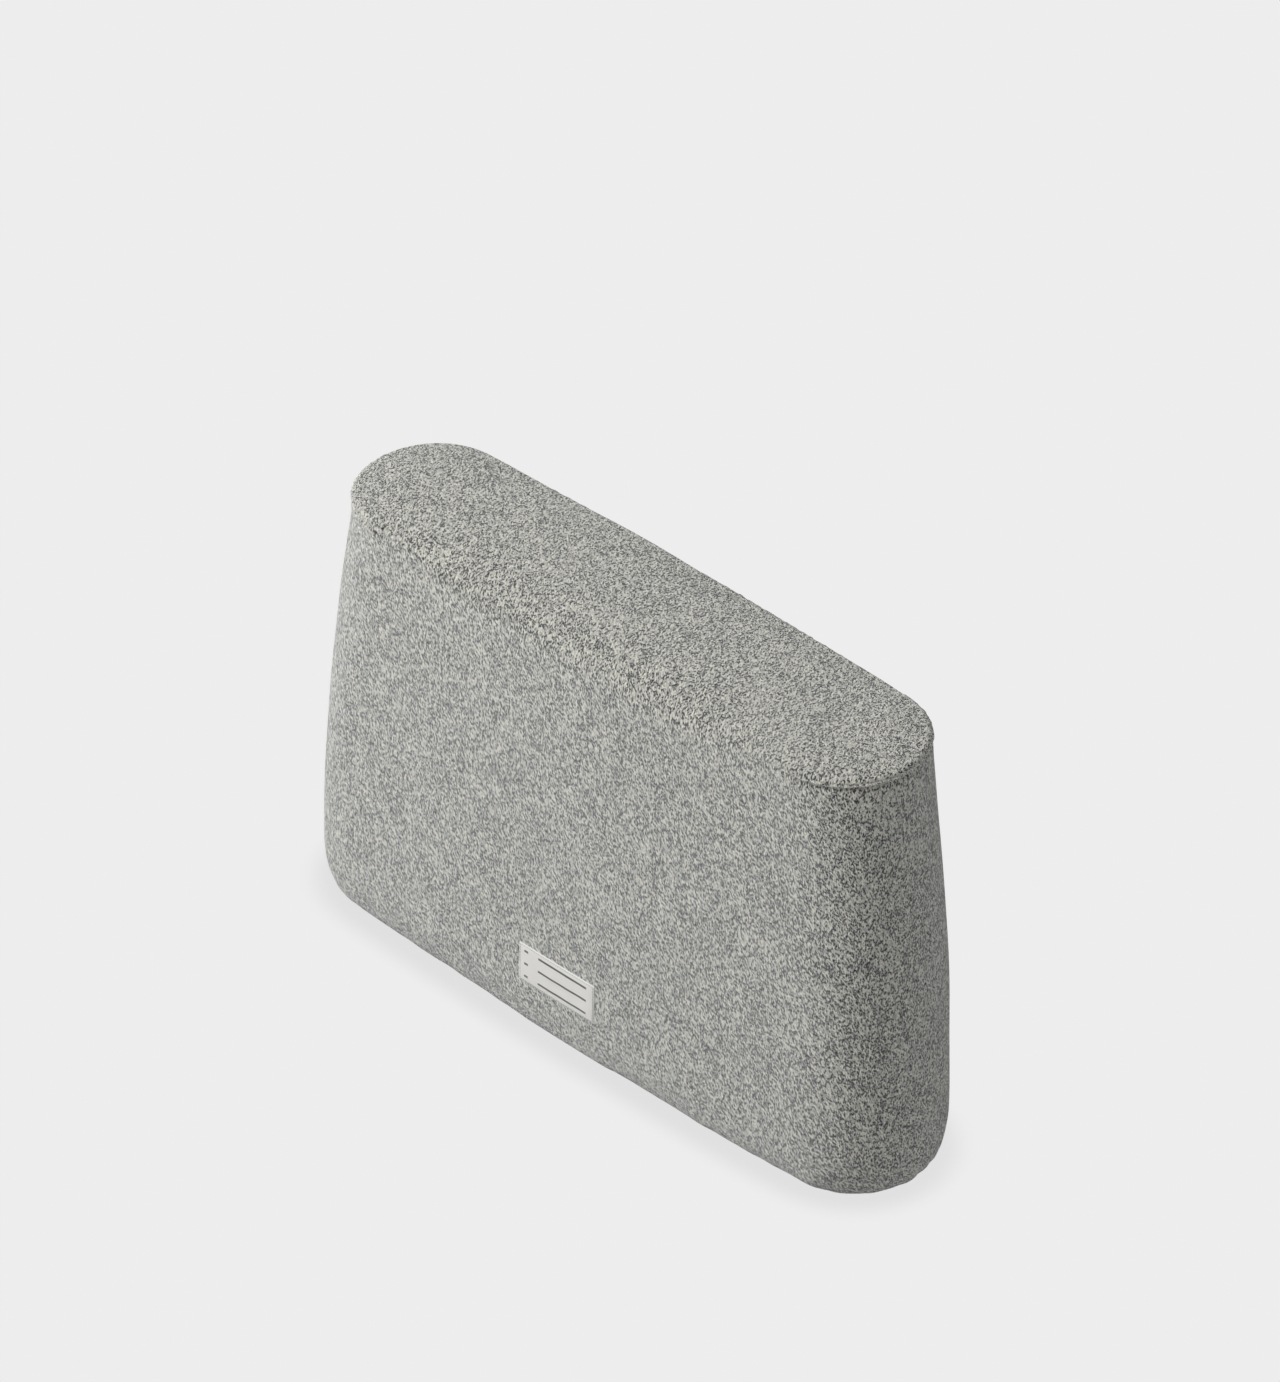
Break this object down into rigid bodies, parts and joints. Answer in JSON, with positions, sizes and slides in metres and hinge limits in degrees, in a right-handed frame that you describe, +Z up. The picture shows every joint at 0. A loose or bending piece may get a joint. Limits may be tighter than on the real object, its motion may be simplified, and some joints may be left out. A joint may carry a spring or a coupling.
{
  "type": "upholstered back cushion",
  "caption": "Free-standing upholstered back cushion: tapered oval block with a rolled foot and soft crown, weighted base inside and a zipped removable cover.",
  "frame": {"origin": "on the floor, at the middle of the underside", "axes": "+X along the cushion, -Y out of the front face that carries the label, +Z up"},
  "size_m": [0.7198, 0.1854, 0.448],
  "materials": {
    "cover_cloth": "speckled grey wool blend with short charcoal and off-white slubs",
    "base_cloth": "plain black woven polypropylene",
    "grip_rubber": "dotted anti-slip rubber",
    "label_cloth": "off-white woven satin label",
    "liner_cotton": "unbleached cotton",
    "wadding": "white polyester fibre",
    "foam": "cut polyurethane foam",
    "plywood": "birch plywood",
    "ballast_steel": "raw rolled steel",
    "zinc_steel": "zinc plated",
    "zip_tape": "dark grey woven polyester tape",
    "zip_nylon": "dark grey nylon coil",
    "zip_metal": "gunmetal zinc casting"
  },
  "bodies": {
    "cushion": {"cover_main_panel": "cover_cloth", "cover_back_panel": "cover_cloth", "cover_base_cloth": "base_cloth", "base_grip_sheet": "grip_rubber", "top_seam_left": "cover_cloth", "top_seam_right": "cover_cloth", "top_seam_back": "cover_cloth", "back_seam_left": "cover_cloth", "back_seam_right": "cover_cloth", "front_label": "label_cloth", "inner_liner": "liner_cotton", "fibre_wrap": "wadding", "foam_base_slab": "foam", "foam_core": "foam", "foam_front_facing": "foam", "foam_rear_facing": "foam", "foam_end_left": "foam", "foam_end_right": "foam", "foam_crown": "foam", "base_board": "plywood", "ballast_plate_left": "ballast_steel", "ballast_plate_right": "ballast_steel", "ballast_bolts": "zinc_steel", "ballast_washers": "zinc_steel", "tee_nuts": "zinc_steel", "foot_foam_tray": "foam", "zip_tape_upper": "zip_tape", "zip_tape_lower": "zip_tape", "zip_coil_upper": "zip_nylon", "zip_coil_lower": "zip_nylon", "zip_placket_upper": "cover_cloth", "zip_placket_lower": "cover_cloth", "zip_stops": "zip_metal"},
    "slider": {"zip_slider": "zip_metal"},
    "pull": {"zip_pull": "zip_metal"}
  },
  "joints": [
    {"name": "zip_slide", "type": "slide", "parent": "cushion", "child": "slider", "axis": [-1, 0, 0], "range_m": [0, 0.382]},
    {"name": "pull_hinge", "type": "hinge", "parent": "slider", "child": "pull", "pos_m": [0.19125, 0.08445, 0.04], "axis": [0, 0, -1], "range_deg": [0, 165]}
  ]
}
